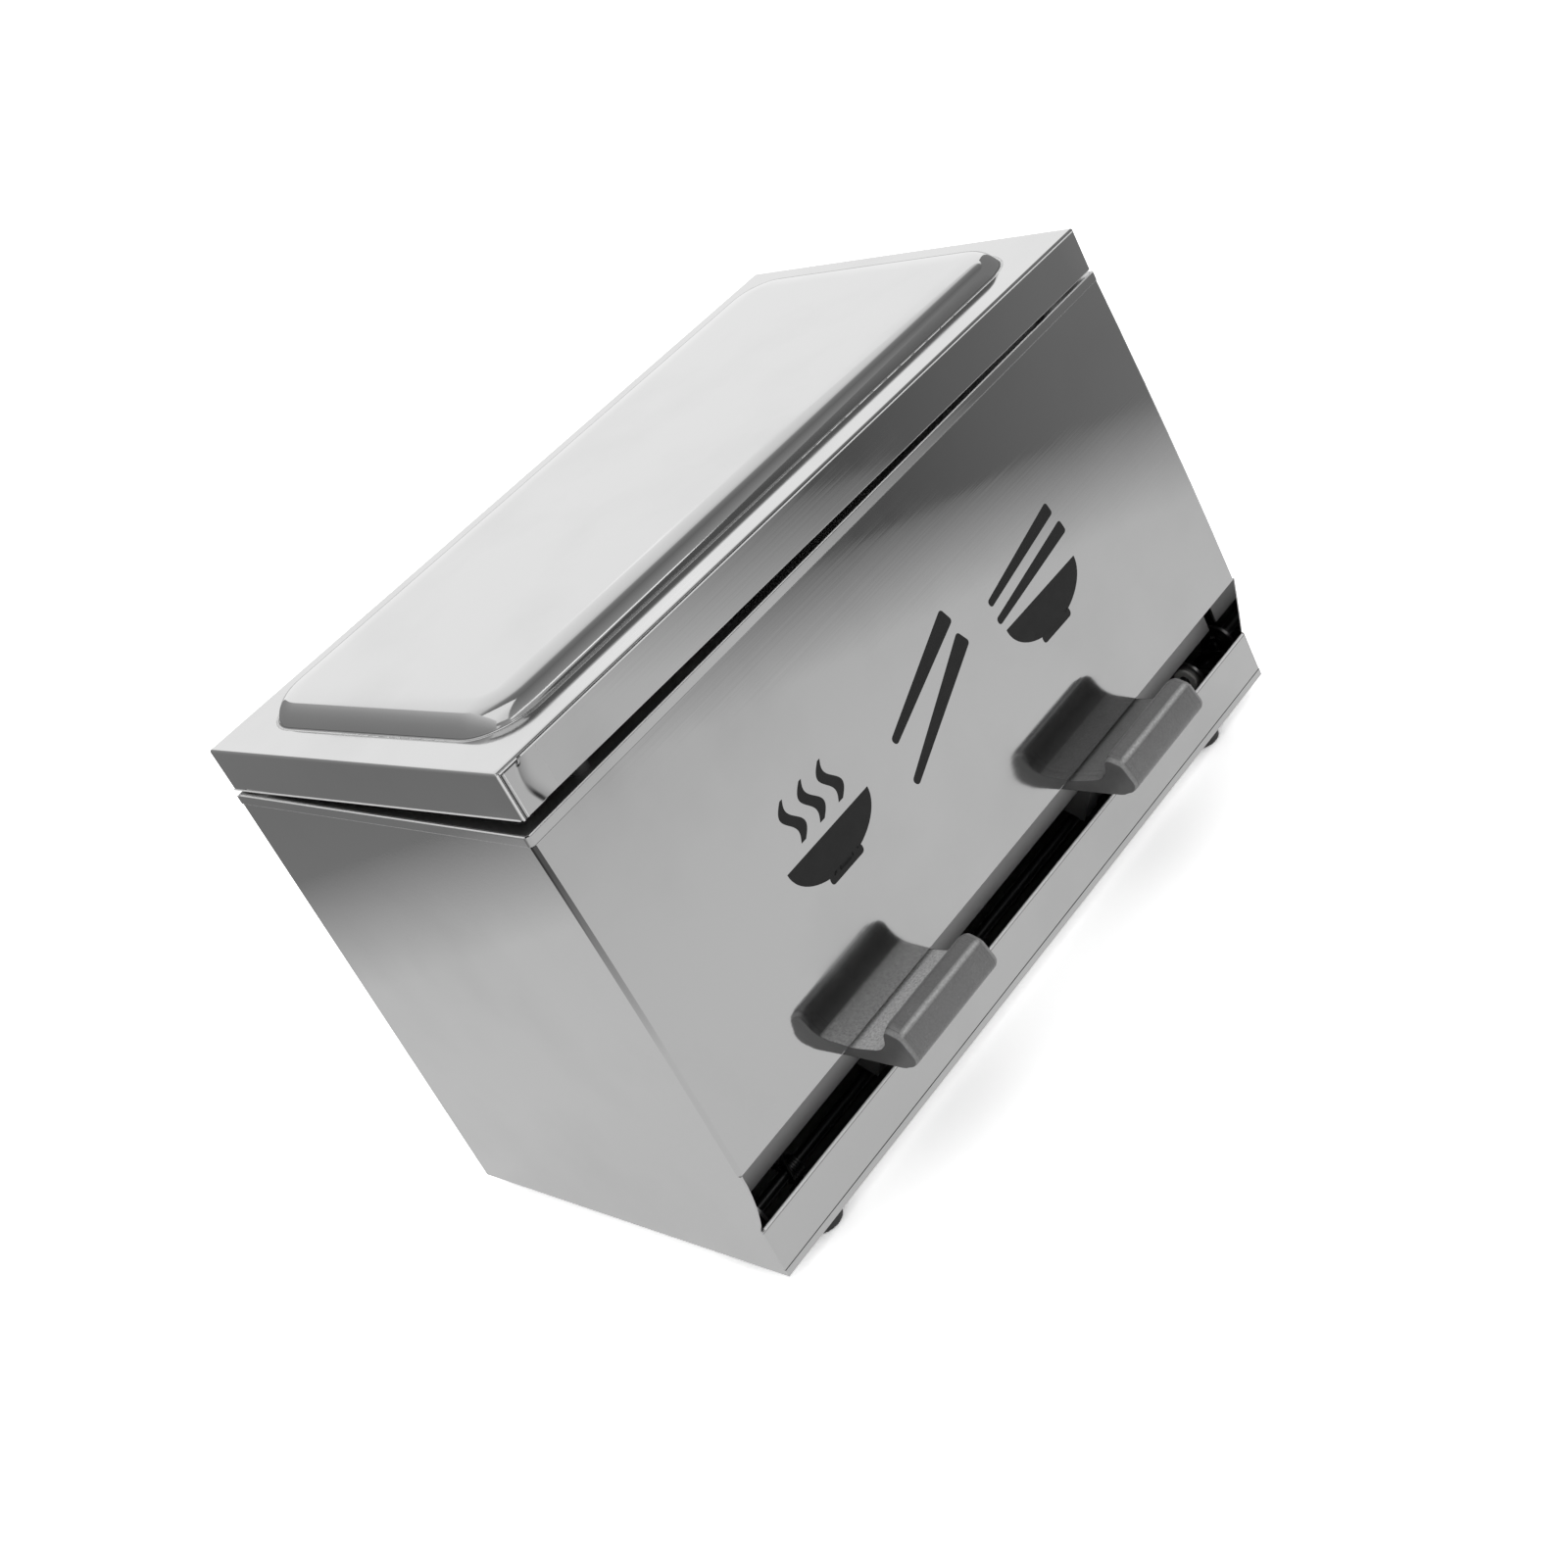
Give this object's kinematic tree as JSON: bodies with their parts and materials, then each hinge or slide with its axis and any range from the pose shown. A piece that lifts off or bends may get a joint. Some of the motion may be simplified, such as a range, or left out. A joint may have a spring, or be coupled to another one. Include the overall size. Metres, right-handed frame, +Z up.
{
  "type": "chopstick holder",
  "caption": "Stainless steel box for chopsticks with a flip lid, a sloping hopper inside and a sprung rocker with plastic hooks that lets them out under the front panel.",
  "frame": {"origin": "on the table, under the middle of the whole outline from the hooks' tips to the hinge barrel", "axes": "+X along the box to the viewer's right when facing the slot, +Y from the front to the back, +Z up"},
  "size_m": [0.2786, 0.1733, 0.1884],
  "materials": {
    "polished_steel": "polished stainless sheet",
    "satin_steel": "mill-finish stainless sheet",
    "lever_plastic": "grey moulded plastic, soft gloss",
    "rubber": "dark rubber",
    "nylon": "natural nylon",
    "bright_rod": "ground steel rod",
    "spring_steel": "bright spring wire",
    "fastener_steel": "plated steel"
  },
  "bodies": {
    "housing": {"body_wrap": "polished_steel", "back_panel": "satin_steel", "base_pan": "polished_steel", "rim_frame": "satin_steel", "hopper_ramp": "satin_steel", "foot_front_left": "rubber", "foot_front_right": "rubber", "foot_rear_left": "rubber", "foot_rear_right": "rubber", "axle_rod": "bright_rod", "axle_clips": "spring_steel", "axle_bracket_left": "satin_steel", "axle_bracket_right": "satin_steel", "axle_bush_left": "nylon", "axle_bush_right": "nylon", "bracket_rivets": "fastener_steel", "torsion_spring_left": "spring_steel", "torsion_spring_right": "spring_steel", "hinge_leaf_body": "satin_steel", "hinge_pin": "bright_rod", "hinge_rivets_body": "fastener_steel", "lid_bumper_left": "rubber", "lid_bumper_right": "rubber"},
    "lid": {"lid_shell": "polished_steel", "hinge_leaf_lid": "satin_steel", "hinge_rivets_lid": "fastener_steel"},
    "rocker": {"rocker_shelf": "satin_steel", "press_lever_left": "lever_plastic", "press_lever_right": "lever_plastic", "lever_screws": "fastener_steel"}
  },
  "joints": [
    {"name": "lid_hinge", "type": "hinge", "parent": "housing", "child": "lid", "pos_m": [0, 0.08485, 0.163], "axis": [-1, 0, 0], "range_deg": [0, 170]},
    {"name": "press_rocker", "type": "hinge", "parent": "housing", "child": "rocker", "pos_m": [0, -0.03575, 0.0101], "axis": [1, 0, 0], "range_deg": [0, 16], "stiffness_Nm_per_rad": 0.2, "springref_deg": -22.92}
  ]
}
